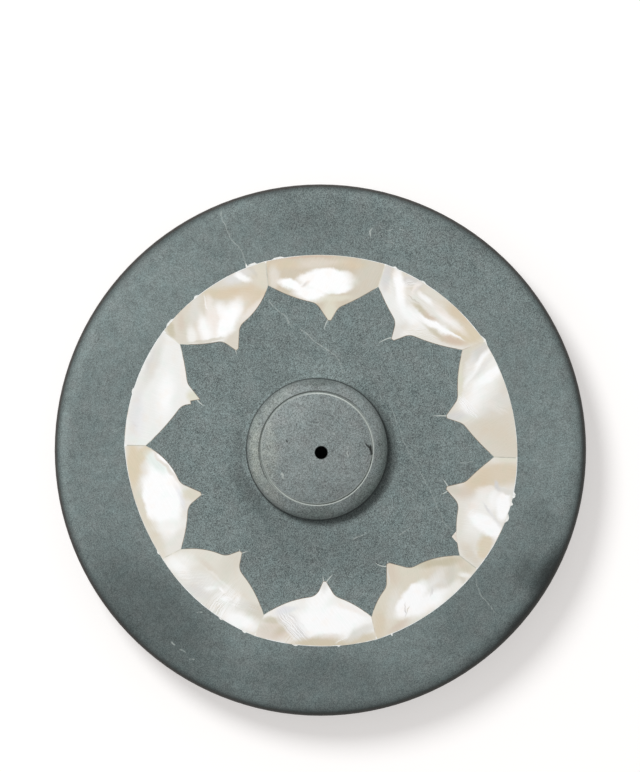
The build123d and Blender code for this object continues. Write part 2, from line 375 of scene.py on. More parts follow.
@dataclass(frozen=True)
class HonedStone(Finish):
    """Soft grey-green stone, rubbed smooth: fine grain, cloudy patches, hairline veins and scratches."""

    body: Colour
    line_tint: Colour
    patches: tuple[Patch, ...]
    lines: tuple[Vein, ...]
    fine_grain: float = 0.13
    fine_depth: float = 1.3
    soft_grain: float = 0.4
    soft_depth: float = 0.3
    middle_grain: float = 1.5
    middle_depth: float = 0.45
    cloud_grain: float = 7.0
    cloud_depth: float = 0.3
    hue_grain: float = 3.2
    warm_gain: Colour = (1.025, 0.99, 0.99)
    cool_gain: Colour = (0.97, 1.0, 1.005)
    tooth_grain: float = 0.3
    roughness: float = 0.58
    shine: float = 0.15
    # Painted shade inside the stick hole.
    hole_tint: Colour = linear(24, 25, 24)

    def fine(self, sheet: NodeSheet) -> Signal:
        """The finest grain, as a number about zero."""
        crystals = sheet.cells(sheet.place, self.fine_grain) * self.fine_depth
        return crystals + sheet.noise(sheet.place, self.soft_grain, 1.0) * self.soft_depth

    def gain(self, sheet: NodeSheet) -> Signal:
        """How much the grain and the soft patches darken or lighten the stone.

        Args:
            sheet: The material's node sheet.

        Returns:
            A gain about 1.
        """
        middle = sheet.noise(sheet.place, self.middle_grain) * self.middle_depth
        cloud = sheet.noise(sheet.place, self.cloud_grain, 3.0, 0.4) * self.cloud_depth
        gain = self.fine(sheet) + middle + cloud + 1.0
        for patch in self.patches:
            seen = sheet.oval(sheet.plan, patch.middle, patch.half, patch.turn)
            gain = gain * seen.length().ramp(0.25, 1.3, patch.gain, 1.0)
        return gain

    def ground(self, sheet: NodeSheet) -> Any:
        """The stone's own colour, under its grain."""
        return self.body

    def lined(self, sheet: NodeSheet, colour: Signal) -> Signal:
        """Draws the veins and scratches, broken here and there as real ones are.

        Args:
            sheet: The material's node sheet.
            colour: The colour so far.

        Returns:
            The colour with the lines in it.
        """
        shaky = sheet.wander(sheet.wander(sheet.plan, 3.0, 1.2), 0.8, 0.35)
        breaks = sheet.noise(sheet.plan, 0.8).ramp(-0.2, 0.14, 0.2, 1.0)
        for vein in self.lines:
            away = sheet.line_distance(shaky, vein.line)
            cover = away.ramp(vein.width * 1.5, vein.width * 0.3) * breaks * vein.strength
            colour = sheet.mix(cover, colour, self.line_tint)
        return colour

    def shaded(self, sheet: NodeSheet, colour: Signal) -> Signal:
        """The colour with what belongs to one piece alone."""
        raise NotImplementedError

    def hole_shaded(self, sheet: NodeSheet, colour: Signal) -> Signal:
        """The colour with painted shade blackening the inside of the stick hole."""
        hole = sheet.oval(sheet.plan, HOLE_MIDDLE, (HOLE_RADIUS, HOLE_RADIUS), 0.0)
        return sheet.mix(hole.length().ramp(1.1, 1.02, 0.0, 0.85), colour, self.hole_tint)

    def sockets(self, sheet: NodeSheet) -> dict[str, Any]:
        """What goes into the stone's shader.

        Args:
            sheet: The material's node sheet.

        Returns:
            Values and signals by socket name.
        """
        colour = sheet.mix(1.0, self.ground(sheet), self.gain(sheet), "MULTIPLY")
        hue = sheet.noise(sheet.plan, self.hue_grain)
        colour = sheet.mix(hue.ramp(0.0, 0.2), colour, self.warm_gain, "MULTIPLY")
        colour = sheet.mix(hue.ramp(0.0, -0.2), colour, self.cool_gain, "MULTIPLY")
        colour = self.hole_shaded(sheet, self.shaded(sheet, self.lined(sheet, colour)))
        tooth = sheet.noise(sheet.place, self.tooth_grain, 3.0)
        bump = {"Strength": 0.25, "Distance": 0.06 * MM, "Height": tooth}
        return {
            "Base Color": colour,
            "Roughness": tooth * 0.2 + self.roughness,
            "Specular IOR Level": self.shine,
            "Normal": sheet.node("ShaderNodeBump", None, bump),
        }


@dataclass(frozen=True)
class DiscStone(HonedStone):
    """The disc's stone, with painted shade darkening and browning its rounded edge, and painted shade and
    light by the boss.

    A band has two distances, where it starts and where it is full. The coarse one is measured towards
    its side, the painted shadow's from its own middle, and the painted light's and the seam shade's from
    the boss's middle.
    """

    rubbed_band: Point = (24.0, 40.0)
    coarse_side: Place = (0.42, 0.91, 0.0)
    coarse_band: Point = (30.0, 44.0)
    # Painted shade on the rounded edge and wall, brownish at the outermost rim and darker on the side away
    # from the lamp.
    wall_heights: Point = (2.5, 6.4)
    roll_heights: Point = (0.5, 6.7)
    edge_band: Point = (48.3, 50.05)
    brown_band: Point = (49.25, 49.8)
    shaded_side_band: Point = (48.9, 49.6)
    edge_depth: float = 0.78
    wall_depth: float = 0.22
    edge_tint: Colour = linear(46, 39, 34)
    shaded_side_tint: Colour = linear(44, 46, 42)
    # Painted shade in the seam round the boss's foot and as the boss's cast shadow, and painted light
    # beside the boss on the lamp's side.
    shade_tint: Colour = linear(44, 48, 46)
    painted_light_band: Point = (14.55, 13.35)
    boss_shade_band: Point = (13.51, 13.35)
    shadow_middle: Place = (1.0, -0.35, 0.0)
    shadow_band: Point = (13.95, 12.95)

    def fine(self, sheet: NodeSheet) -> Signal:
        """The finest grain, which is weaker on most of the rim, where hands have rubbed it.

        Args:
            sheet: The material's node sheet.

        Returns:
            A number about zero.
        """
        rubbed_and_highlit = sheet.plan.length().ramp(*self.rubbed_band, 1.1, 0.75)
        coarse = sheet.plan.dot(self.coarse_side).ramp(*self.coarse_band, 1.0, 1.45)
        return super().fine(sheet) * rubbed_and_highlit * coarse

    def shaded(self, sheet: NodeSheet, colour: Signal) -> Signal:
        """Darkens the edge with painted shade, less so down the wall, and paints shade and light round the
        boss.

        Args:
            sheet: The material's node sheet.
            colour: The colour so far.

        Returns:
            The colour with the edge and the seam in it.
        """
        out = sheet.plan.length()
        lit = sheet.plan.dot(LIT_SIDE)
        height = sheet.node("ShaderNodeSeparateXYZ", None, {0: sheet.place}, "Z")
        # Painted shade: the edge darkens, less down the wall, browns at the rim, and darkens more away from
        # the lamp.
        depth = height.ramp(*self.wall_heights, self.wall_depth, self.edge_depth)
        edged = sheet.mix(1.0, colour, 1.0 - out.ramp(*self.edge_band) * depth, "MULTIPLY")
        rolled = height.ramp(*self.roll_heights)
        edged = sheet.mix(rolled * out.ramp(*self.brown_band, 0.0, 0.75), edged, self.edge_tint)
        shaded_side = rolled * out.ramp(*self.shaded_side_band) * lit.ramp(0.0, -42.0, 0.0, 0.7)
        edged = sheet.mix(shaded_side, edged, self.shaded_side_tint)
        # Painted light beside the boss on the lamp's side, painted shade in the seam at its foot, and the
        # boss's painted cast shadow, which falls away from the lamp.
        from_boss = sheet.plan.distance(BOSS_MIDDLE)
        painted_light = from_boss.ramp(*self.painted_light_band, 0.0, 0.36) * lit.ramp(-6.0, 6.0)
        edged = sheet.mix(1.0, edged, painted_light + 1.0, "MULTIPLY")
        edged = sheet.mix(from_boss.ramp(*self.boss_shade_band, 0.0, 0.5), edged, self.shade_tint)
        painted_shadow = sheet.plan.distance(self.shadow_middle).ramp(*self.shadow_band, 0.0, 0.46)
        return sheet.mix(painted_shadow, edged, self.shade_tint)


@dataclass(frozen=True)
class BossStone(HonedStone):
    """The boss's stone: a paler groove, painted highlight and shade lines along it, and painted shade at
    its foot.

    A band has two distances from the boss's middle, where it starts and where it is full. A fade has two
    distances from the radius of its line, where the line is gone and where it is full.
    """

    groove_middle: Place = (-0.71, 0.39, 0.0)
    groove_radius: float = 10.55
    groove_half: float = 0.3
    groove_tint: Colour = linear(160, 167, 163)
    # Painted shade: the dark line of the groove's shaded wall, on the lamp's side.
    groove_shade_radius: float = 10.95
    groove_shade_fade: Point = (0.14, 0.05)
    groove_shade_tint: Colour = linear(62, 66, 63)
    # Painted highlight: the bright line of the groove's lit wall, faint towards the faint side.
    highlight_radius: float = 10.48
    highlight_fade: Point = (0.15, 0.05)
    highlight_tint: Colour = linear(206, 212, 207)
    faint_side: Place = (-0.94, 0.34, 0.0)
    # Painted shade on the boss's steep outer edge, and a painted shade line at its foot, stronger on the
    # side away from the lamp.
    boss_shade_band: Point = (12.35, 13.05)
    shade_tint: Colour = linear(44, 48, 46)
    foot_band: Point = (13.11, 13.25)
    foot_tint: Colour = linear(36, 40, 38)
    smears_and_shade: tuple[SmearAndShade, ...] = ()
    flecks: tuple[Vein, ...] = ()
    fleck_tint: Colour = linear(38, 40, 38)

    def ground(self, sheet: NodeSheet) -> Any:
        """The stone's own colour, tinted where dust or dirt lies on it, with painted light and shade on the
        rolled edge.

        Args:
            sheet: The material's node sheet.

        Returns:
            The colour.
        """
        colour: Any = self.body
        patchy = sheet.noise(sheet.plan, 0.9, 3.0).ramp(-0.2, 0.2, 0.55, 1.0)
        for tinted_oval in self.smears_and_shade:
            seen = sheet.oval(sheet.plan, tinted_oval.middle, tinted_oval.half, tinted_oval.turn)
            cover = seen.length().ramp(1.3, 0.3) * patchy * tinted_oval.strength
            colour = sheet.mix(cover, colour, tinted_oval.tint)
        return colour

    def shaded(self, sheet: NodeSheet, colour: Signal) -> Signal:
        """Lightens the groove, paints highlight and shade lines along it and shade at the foot, and adds
        the flecks.

        Args:
            sheet: The material's node sheet.
            colour: The colour so far.

        Returns:
            The colour with the wear in it.
        """
        out = sheet.plan.distance(BOSS_MIDDLE)
        lit = sheet.plan.dot(LIT_SIDE)
        turned = sheet.plan.distance(self.groove_middle) - self.groove_radius
        cut = (turned * turned).ramp(self.groove_half ** 2 * 1.2, self.groove_half ** 2 * 0.7)
        # The groove's pale cut, stronger on the side away from the lamp, where it is partly painted
        # highlight on the lit wall.
        worn_and_shaded = sheet.mix(cut * lit.ramp(9.0, -9.0, 0.35, 0.65), colour, self.groove_tint)
        # Painted shade on the groove's wall that faces away from the lamp, on the lamp's side.
        groove_shade = out.band(self.groove_shade_radius, *self.groove_shade_fade) * lit.ramp(-1.0, 4.0)
        worn_and_shaded = sheet.mix(groove_shade * 0.8, worn_and_shaded, self.groove_shade_tint)
        # Painted highlight along the groove, faint on the faint side and weaker on the side away from the
        # lamp.
        rubbed_and_highlit = sheet.plan.dot(self.faint_side).ramp(9.0, 3.0, 0.1, 0.85) * lit.ramp(-9.0, 0.0, 0.7, 1.0)
        painted_highlight = out.band(self.highlight_radius, *self.highlight_fade) * rubbed_and_highlit
        worn_and_shaded = sheet.mix(painted_highlight, worn_and_shaded, self.highlight_tint)
        # Painted shade on the steep outer edge, and a painted shade line at the foot, stronger away from
        # the lamp.
        worn_and_shaded = sheet.mix(out.ramp(*self.boss_shade_band, 0.0, 0.18), worn_and_shaded, self.shade_tint)
        foot = out.ramp(*self.foot_band) * lit.ramp(6.0, 13.0, 0.85, 0.7)
        worn_and_shaded = sheet.mix(foot, worn_and_shaded, self.foot_tint)
        shaky = sheet.wander(sheet.plan, 0.5, 0.45)
        for fleck in self.flecks:
            away = sheet.line_distance(shaky, fleck.line)
            cover = away.ramp(fleck.width * 1.4, fleck.width * 0.5) * fleck.strength
            worn_and_shaded = sheet.mix(cover, worn_and_shaded, self.fleck_tint)
        return worn_and_shaded


@dataclass(frozen=True)
class Stroke:
    """A soft oval area of one tint in the shell, laid like the stroke of a brush.

    The ends are an angle round the ring and a distance from its middle.
    """

    start: Point
    end: Point
    width: float
    tint: Tint
    strength: float = 0.9
    soft: float = 0.6
    threads: float = 0.0

    @staticmethod
    def spot(end: Point) -> Point:
        """Where an end is, from the middle of the ring."""
        return (end[1] * cos(radians(end[0])), end[1] * sin(radians(end[0])))

    def over(self, sheet: NodeSheet, plan: Signal, colour: Any) -> Signal:
        """Lays the stroke over a colour.

        Args:
            sheet: The material's node sheet.
            plan: The place, seen from above, from the middle of the ring.
            colour: The colour so far.

        Returns:
            The colour with the stroke in it.
        """
        first = self.spot(self.start)
        last = self.spot(self.end)
        middle = ((first[0] + last[0]) / 2, (first[1] + last[1]) / 2)
        run = (last[0] - first[0], last[1] - first[1])
        half = (hypot(*run) / 2 + self.width, self.width)
        seen = sheet.oval(plan, middle, half, degrees(atan2(run[1], run[0])))
        cover = seen.length().ramp(1 + self.soft, 1 - self.soft) * self.strength
        if self.threads:
            fibre = sheet.noise(seen * (0.6, self.threads, 0.0), 1.0, 1.0)
            cover = cover * fibre.ramp(-0.1, 0.08)
        return sheet.mix(cover, colour, self.tint.light)


@dataclass(frozen=True)
class PearlShell(Finish):
    """Polished mother-of-pearl: clouds of cream, white and rose, the whitest partly painted highlight, and
    fine growth lines.
    """

    base: Tint
    growth_turn: float
    strokes: tuple[Stroke, ...]
    growth_pitch: float = 0.4
    rose_sheen: Colour = (1.0, 0.975, 0.955)
    sea_sheen: Colour = (0.965, 0.995, 0.985)

    def growth(self, sheet: NodeSheet, plan: Signal) -> Signal:
        """The fine lines that the shell grew in, as a number about zero."""
        along = sheet.oval(plan, (0.0, 0.0), (self.growth_pitch * 9, self.growth_pitch), self.growth_turn)
        return sheet.noise(along, 1.0, 2.0, 0.6)

    def sockets(self, sheet: NodeSheet) -> dict[str, Any]:
        """What goes into the shell's shader.

        Args:
            sheet: The material's node sheet.

        Returns:
            Values and signals by socket name.
        """
        plan = (sheet.place - RING_MIDDLE) * (1.0, 1.0, 0.0)
        drawn = sheet.wander(sheet.wander(plan, 2.6, 1.3), 0.45, 0.35)
        colour: Any = self.base.light
        for stroke in self.strokes:
            colour = stroke.over(sheet, drawn, colour)
        sheen = sheet.noise(plan, 2.4)
        colour = sheet.mix(sheen.ramp(0.02, 0.2), colour, self.rose_sheen, "MULTIPLY")
        colour = sheet.mix(sheen.ramp(-0.02, -0.2), colour, self.sea_sheen, "MULTIPLY")
        growth = self.growth(sheet, plan) * sheet.noise(plan, 3.0, 1.0).ramp(-0.1, 0.15, 0.2, 1.0)
        colour = sheet.mix(1.0, colour, growth * 0.05 + 1.0, "MULTIPLY")
        bump = {"Strength": 0.12, "Distance": 0.08 * MM, "Height": growth}
        return {
            "Base Color": colour,
            "Roughness": growth * 0.25 + 0.27,
            "Specular IOR Level": 0.45,
            "Coat Weight": 0.25,
            "Coat Roughness": 0.12,
            "Normal": sheet.node("ShaderNodeBump", None, bump),
        }


@dataclass(frozen=True)
class Cement(Finish):
    """Matt cement: dark along the petals' inner edges, pale in the seams and bluish white outside.

    The bands are distances from the middle of the ring, where one colour gives way to the next, and the
    reaches are distances from a seam or a chip. Over the low band, which is measured towards the low
    side, the outer cement comes further in.
    """

    inner_tint: Colour = linear(138, 126, 110)
    inner_band: Point = (31.4, 32.2)
    chip_middle: Place = (25.6, -16.3, 0.0)
    chip_reach: Point = (1.3, 0.9)
    chip_tint: Colour = linear(224, 217, 207)
    seam_tint: Colour = linear(222, 219, 207)
    seam_reach: Point = (3.4, 2.6)
    dull_tint: Colour = linear(196, 194, 181)
    dull_seams: tuple[Point, ...] = ((34.9, -1.2), (-10.3, 33.2), (-34.8, 1.0), (27.9, -21.4))
    quiet_tint: Colour = linear(212, 203, 188)
    quiet_seams: tuple[Point, ...] = ((28.7, 19.8), (9.9, -33.2))
    low_side: Place = (-0.883, -0.469, 0.0)
    low_band: Point = (31.0, 35.0)
    outer_band: Point = (36.45, 36.75)
    outer_tint: Colour = linear(243, 246, 246)
    stained_tint: Colour = linear(222, 212, 196)

    def sockets(self, sheet: NodeSheet) -> dict[str, Any]:
        """What goes into the cement's shader.

        Args:
            sheet: The material's node sheet.

        Returns:
            Values and signals by socket name.
        """
        plan = sheet.plan
        out = plan.distance(RING_MIDDLE)
        patchy = sheet.noise(sheet.place, 1.4)
        colour = sheet.mix(out.ramp(*self.inner_band), self.inner_tint, self.seam_tint)
        for seams, tint in ((self.dull_seams, self.dull_tint), (self.quiet_seams, self.quiet_tint)):
            for seam in seams:
                colour = sheet.mix(plan.distance(flat(seam)).ramp(*self.seam_reach), colour, tint)
        chip = plan.distance(self.chip_middle).ramp(*self.chip_reach)
        colour = sheet.mix(chip, colour, self.chip_tint)
        stain = sheet.noise(sheet.place, 5.0).ramp(-0.02, 0.14)
        outer = sheet.mix(stain, self.outer_tint, self.stained_tint)
        low = plan.dot(self.low_side).ramp(*self.low_band, 0.0, 0.4)
        colour = sheet.mix((out + low).ramp(*self.outer_band), colour, outer)
        colour = sheet.mix(1.0, colour, patchy * 0.6 + 1.0, "MULTIPLY")
        return {"Base Color": colour, "Roughness": patchy * 0.2 + 0.75, "Specular IOR Level": 0.25}


@dataclass(frozen=True)
class WhiteFiller(Finish):
    """The pale filler: grey in the saw cuts, shell-coloured in the side chip and white in the nicks.

    The bands are distances from the middle of the ring, where one colour gives way to the next.
    """

    cut_tint: Colour = linear(192, 198, 193)
    chip_band: Point = (26.5, 28.5)
    chip_tint: Colour = linear(226, 218, 207)
    nick_band: Point = (32.0, 35.0)
    nick_tint: Colour = linear(238, 239, 235)

    def sockets(self, sheet: NodeSheet) -> dict[str, Any]:
        """What goes into the filler's shader.

        Args:
            sheet: The material's node sheet.

        Returns:
            Values and signals by socket name.
        """
        patchy = sheet.noise(sheet.place, 0.5)
        out = sheet.plan.distance(RING_MIDDLE)
        colour = sheet.mix(out.ramp(*self.chip_band), self.cut_tint, self.chip_tint)
        colour = sheet.mix(out.ramp(*self.nick_band), colour, self.nick_tint)
        colour = sheet.mix(1.0, colour, patchy * 0.7 + 0.97, "MULTIPLY")
        return {"Base Color": colour, "Roughness": patchy * 0.2 + 0.7, "Specular IOR Level": 0.25}


# The ten petals in order round the ring, counted from the one at the right of the picture. Their BRIGHT and
# MILK strokes are partly painted highlight.
PETALS = (
    PearlShell("pearl_petal_01", Tint.OAT, 30, (
        Stroke((2, 35.5), (9, 31.5), 2, Tint.TAN, 0.35, 0.8),
        Stroke((16.5, 36.8), (15, 31), 2.2, Tint.GREY_WHITE, 0.85, 0.7),
        Stroke((12, 35), (16.5, 32), 0.8, Tint.ROSE_WHITE, 0.5, 0.6, 5),
        Stroke((27, 36.6), (17.5, 29), 2.9, Tint.MILK, 0.95, 0.55),
        Stroke((24.9, 36.9), (22.5, 32), 0.9, Tint.BRIGHT, 1, 0.45),
        Stroke((20.5, 31.5), (17, 29.2), 1.3, Tint.BRIGHT, 0.5, 0.8),
        Stroke((28.4, 36.3), (24.6, 31), 0.38, Tint.LILAC_GREY, 0.35),
        Stroke((31.2, 37), (25.4, 30.3), 0.55, Tint.BRIGHT, 0.95),
        Stroke((30.8, 33.2), (27.4, 31.2), 0.9, Tint.FROST, 0.85, 0.7),
        Stroke((33, 36.4), (31, 33.6), 0.9, Tint.LILAC_GREY, 0.6, 0.7),
        Stroke((34.2, 36.4), (34, 33.4), 0.6, Tint.CREAM, 0.6, 0.7),
        Stroke((31, 30.6), (20.5, 27.6), 0.45, Tint.GREEN_CREAM, 0.9, 0.5),
        Stroke((13.5, 29.4), (18.5, 28.2), 0.8, Tint.LILAC_GREY, 0.5, 0.5, 7),
        Stroke((14, 29.2), (19, 28), 0.9, Tint.BRIGHT, 0.9, 0.5, 6),
        Stroke((13.8, 26.8), (14.4, 24.2), 1, Tint.LILAC_GREY, 0.75),
    )),
    PearlShell("pearl_petal_02", Tint.PALE, 145, (
        Stroke((62, 29.5), (68, 32.5), 1.6, Tint.FROST, 0.8, 0.7),
        Stroke((50.5, 29), (61.5, 29.8), 2.3, Tint.FROST, 0.75),
        Stroke((38, 36.5), (50, 36.4), 1.9, Tint.CREAM, 0.9, 0.4),
        Stroke((52, 36.5), (70, 36.7), 1.7, Tint.OAT, 0.85, 0.4),
        Stroke((36.4, 36.4), (39.8, 33.5), 1.9, Tint.GOLD, 1),
        Stroke((40.5, 34.7), (50, 34.2), 0.7, Tint.ROSE_WHITE),
        Stroke((43, 34.2), (49.5, 33.7), 0.5, Tint.BRIGHT, 0.4, 0.7),
        Stroke((41.5, 36.4), (48, 36.3), 1.1, Tint.TAN, 1),
        Stroke((51, 36.3), (58, 36), 0.6, Tint.BONE, 0.7),
        Stroke((53.6, 34.2), (57.6, 34.7), 0.6, Tint.BRIGHT, 0.75, 0.5),
        Stroke((59.6, 36.3), (59.9, 34.2), 0.4, Tint.ROSE_WHITE, 0.9, 0.5),
        Stroke((59, 36), (59.5, 34.5), 0.2, Tint.LILAC_GREY, 0.5),
        Stroke((43, 30.5), (54, 27.6), 1.2, Tint.CREAM, 0.7, 0.6, 8),
        Stroke((38.4, 33.6), (44, 32.5), 0.25, Tint.BRIGHT, 0.9, 0.5),
        Stroke((42.5, 32.5), (53, 31.3), 0.65, Tint.BRIGHT, 1, 0.5),
        Stroke((37.6, 32.9), (42.6, 31.2), 0.7, Tint.BROWN_ROSE, 0.9, 0.8),
        Stroke((42.4, 31), (50, 30.4), 0.35, Tint.OLIVE, 0.75, 0.8),
        Stroke((49, 32.45), (53.2, 32.1), 0.36, Tint.BROWN_ROSE, 0.85, 0.8),
        Stroke((52.8, 32.15), (57.6, 32.4), 0.42, Tint.OLIVE, 0.9, 0.8),
        Stroke((56, 32.9), (60.8, 33.2), 0.12, Tint.SHELL_BROWN, 0.45, 0.5),
        Stroke((61, 36.3), (65, 34.8), 0.9, Tint.LILAC_GREY, 0.7, 0.5),
        Stroke((61, 35.6), (65, 34.4), 0.7, Tint.BRIGHT, 0.7, 0.4, 5),
        Stroke((66.6, 36), (61.5, 31.5), 0.9, Tint.BRIGHT, 1, 0.5),
        Stroke((53.5, 30.2), (60, 30.6), 1.1, Tint.BRIGHT, 0.7),
        Stroke((69.8, 36.6), (69.2, 33), 0.9, Tint.LILAC_GREY, 0.8),
        Stroke((50, 29), (57.5, 26), 0.9, Tint.BRIGHT, 0.5, 0.6, 6),
        Stroke((56.8, 27.6), (57.6, 25), 0.9, Tint.GREY_WHITE, 0.75, 0.7),
    )),
    PearlShell("pearl_petal_03", Tint.BISCUIT, 60, (
        Stroke((74, 36), (76, 31), 2.4, Tint.SHELL_GREY, 0.7),
        Stroke((78, 35.4), (84, 35.2), 0.85, Tint.TAN, 0.8),
        Stroke((86, 35.2), (97, 35), 0.8, Tint.ROSE_WHITE, 0.35, 0.7),
        Stroke((86, 36.6), (102, 36.7), 0.3, Tint.BROWN_ROSE, 0.9, 0.5),
        Stroke((98.5, 35), (104.5, 35.8), 0.9, Tint.TAN),
        Stroke((104.8, 34.6), (106, 32.4), 0.9, Tint.PALE, 0.7),
        Stroke((82.8, 31.9), (93.8, 31.75), 2, Tint.BRIGHT, 1, 0.32),
        Stroke((82.8, 33.1), (91, 33.4), 0.8, Tint.BRIGHT, 1, 0.45),
        Stroke((91, 33.1), (96.6, 32.5), 0.6, Tint.BRIGHT, 0.9, 0.5),
        Stroke((81.2, 30.6), (90.5, 30.2), 0.95, Tint.BRIGHT, 1, 0.35),
        Stroke((97, 30.9), (103.2, 32.3), 0.85, Tint.BRIGHT, 1, 0.35),
        Stroke((90.5, 29), (97.5, 29.9), 1.2, Tint.BRIGHT, 1, 0.4),
        Stroke((94.3, 31.7), (96.4, 31.1), 0.3, Tint.ROSE_WHITE, 0.9, 0.5),
        Stroke((95, 31.5), (96.2, 31.2), 0.14, Tint.LILAC_GREY, 0.6, 0.5),
        Stroke((80, 29), (90, 28.2), 0.6, Tint.GREEN_CREAM, 0.8),
        Stroke((86.3, 27.6), (86.8, 24.6), 1.3, Tint.GREEN_CREAM, 0.8, 0.7),
    )),
    PearlShell("pearl_petal_04", Tint.OAT, -7, (
        Stroke((108.8, 36.4), (110.6, 31.8), 1.2, Tint.CREAM, 0.95),
        Stroke((111.2, 36.9), (110.8, 34.8), 0.35, Tint.SHELL_GREY, 0.9, 0.5),
        Stroke((113.5, 35.9), (118.5, 36.2), 1, Tint.LAVENDER, 0.6),
        Stroke((115.8, 36.5), (113.8, 34.8), 0.6, Tint.BRIGHT, 0.85, 0.5),
        Stroke((126.5, 36.6), (112.6, 31.4), 1.05, Tint.TAN, 1, 0.55),
        Stroke((119, 33.4), (112.5, 31.8), 1.4, Tint.TAN, 1),
        Stroke((111.8, 31.2), (117.5, 30.2), 0.9, Tint.TAN, 0.75),
        Stroke((112, 30.2), (122, 28.4), 0.7, Tint.ROSE_WHITE, 0.6),
        Stroke((121.5, 31), (135.5, 30.8), 2.1, Tint.ROSE_WHITE, 0.75),
        Stroke((121.8, 30.9), (131, 28.8), 1.6, Tint.BRIGHT, 1, 0.4),
        Stroke((125.6, 32.6), (126.4, 31), 1, Tint.BRIGHT, 0.75, 0.7),
        Stroke((127.4, 34.6), (131.4, 30.6), 0.9, Tint.ROSE_WHITE, 0.85, 0.5),
        Stroke((132.8, 33), (135.8, 29.9), 1.1, Tint.BRIGHT, 0.85, 0.65),
        Stroke((137.5, 33.2), (140, 31.6), 0.8, Tint.MILK),
        Stroke((127.6, 36.3), (129, 34), 0.13, Tint.BRIGHT, 0.5, 0.5),
        Stroke((130.5, 36.4), (134.5, 34.4), 0.9, Tint.GREY_WHITE, 0.7),
        Stroke((136.8, 36.2), (139.2, 34.8), 0.7, Tint.ROSE, 0.8),
        Stroke((140.6, 36.8), (142.4, 35.6), 0.6, Tint.OLIVE, 0.9, 0.5),
        Stroke((131.8, 27.9), (140.6, 31.6), 0.3, Tint.SHELL_GREY, 0.85, 0.5),
        Stroke((128.3, 27.3), (129.8, 25), 0.9, Tint.ROSE, 0.2, 0.7),
    )),
    PearlShell("pearl_petal_05", Tint.FROST, 161, (
        Stroke((146, 36.4), (159, 35.4), 1.1, Tint.GREY_WHITE, 1),
        Stroke((160, 36.5), (177, 36), 0.9, Tint.GREY_WHITE, 0.6),
        Stroke((150, 36.6), (156, 36.2), 0.5, Tint.LILAC_GREY, 0.45, 0.7),
        Stroke((172.2, 35.7), (172.8, 35.3), 0.3, Tint.LILAC_GREY, 0.45, 0.7),
        Stroke((165, 35.6), (174, 34.8), 1.2, Tint.LAVENDER, 0.5, 0.7),
        Stroke((148, 30.6), (154, 28.8), 0.6, Tint.ROSE_WHITE, 0.7, 0.7),
        Stroke((156.5, 31.6), (165, 30.6), 1.5, Tint.BRIGHT, 0.75, 0.7),
        Stroke((176.6, 36), (177.6, 33.6), 0.6, Tint.SEA_WHITE, 0.6, 0.7),
        Stroke((157.4, 26.3), (158.2, 24.4), 1.1, Tint.GREEN_CREAM, 1, 0.35),
    )),
    PearlShell("pearl_petal_06", Tint.PALE, 120, (
        Stroke((190, 36.2), (212, 35.6), 1.2, Tint.CREAM, 1),
        Stroke((179.4, 35.4), (189, 35.8), 1.4, Tint.GOLD, 1, 0.5),
        Stroke((179.8, 32.8), (182.6, 34.2), 1.1, Tint.GOLD, 0.9, 0.5),
        Stroke((186, 30.4), (204, 31.6), 3.1, Tint.BRIGHT, 1, 0.22),
        Stroke((191, 33.6), (201, 34.2), 0.95, Tint.BRIGHT, 1, 0.4),
        Stroke((182.2, 32.2), (186.4, 30.4), 0.9, Tint.SEA_WHITE),
        Stroke((181.2, 31.2), (191.5, 27.8), 0.3, Tint.ROSE, 0.6, 0.7),
        Stroke((205.5, 33.6), (207.5, 29.8), 0.9, Tint.MILK, 0.8, 0.7),
        Stroke((194.5, 28.2), (203, 28), 0.45, Tint.LAVENDER, 0.6, 0.7),
        Stroke((199, 26.2), (199.8, 24.2), 1.3, Tint.CREAM, 1, 0.4),
    )),
    PearlShell("pearl_petal_07", Tint.BONE, 233, (
        Stroke((217, 36.4), (249, 36.6), 2.5, Tint.FROST, 0.45, 0.5),
        Stroke((217, 35.6), (219.5, 33), 1.6, Tint.MILK, 1),
        Stroke((218, 35), (223, 34.6), 1, Tint.BRIGHT, 0.6),
        Stroke((227, 33.3), (241, 32.9), 1.8, Tint.FROST, 0.7, 0.5),
        Stroke((222.5, 36.2), (226.5, 33.2), 1.6, Tint.GREY_WHITE, 0.5, 0.6, 5),
        Stroke((226.5, 35.7), (231.5, 35), 0.9, Tint.LILAC_GREY, 0.4, 0.7),
        Stroke((228, 36.2), (228.6, 34.4), 1.7, Tint.LILAC_GREY, 0.4, 0.6, 9),
        Stroke((235, 36.4), (235.4, 34.2), 1.8, Tint.SHELL_GREY, 0.6, 0.5, 11),
        Stroke((237, 35.8), (237.6, 33), 2.1, Tint.BRIGHT, 0.75, 0.5, 12),
        Stroke((230.6, 33.5), (232, 32.9), 0.4, Tint.BRIGHT, 0.5),
        Stroke((233.6, 32.3), (235.2, 32.5), 0.3, Tint.BRIGHT, 0.8),
        Stroke((236.4, 33.6), (238.4, 33), 0.45, Tint.BRIGHT),
        Stroke((241.8, 35.8), (247.6, 35.4), 1.5, Tint.BRIGHT, 0.9, 0.5),
        Stroke((245.5, 32.6), (250, 33), 1, Tint.SHELL_GREY, 0.8),
        Stroke((240, 33), (246, 32.6), 0.9, Tint.GREY_WHITE, 0.8, 0.6, 4),
        Stroke((241, 33.4), (240.2, 31.4), 0.5, Tint.BRIGHT, 0.8, 0.5, 4),
        Stroke((226, 31.15), (237.5, 31.1), 0.22, Tint.MILK, 0.5),
        Stroke((222, 30.7), (228, 30.6), 0.5, Tint.ROSE, 0.35, 0.7),
        Stroke((231.5, 28.4), (232, 24.8), 1.8, Tint.SHELL_GREY, 0.5, 0.7),
    )),
    PearlShell("pearl_petal_08", Tint.MILK, 127, (
        Stroke((252.4, 36), (258, 34.4), 2.2, Tint.ROSE, 0.75, 0.65),
        Stroke((256, 36.4), (258.4, 35), 0.8, Tint.BROWN_ROSE, 0.35, 0.7),
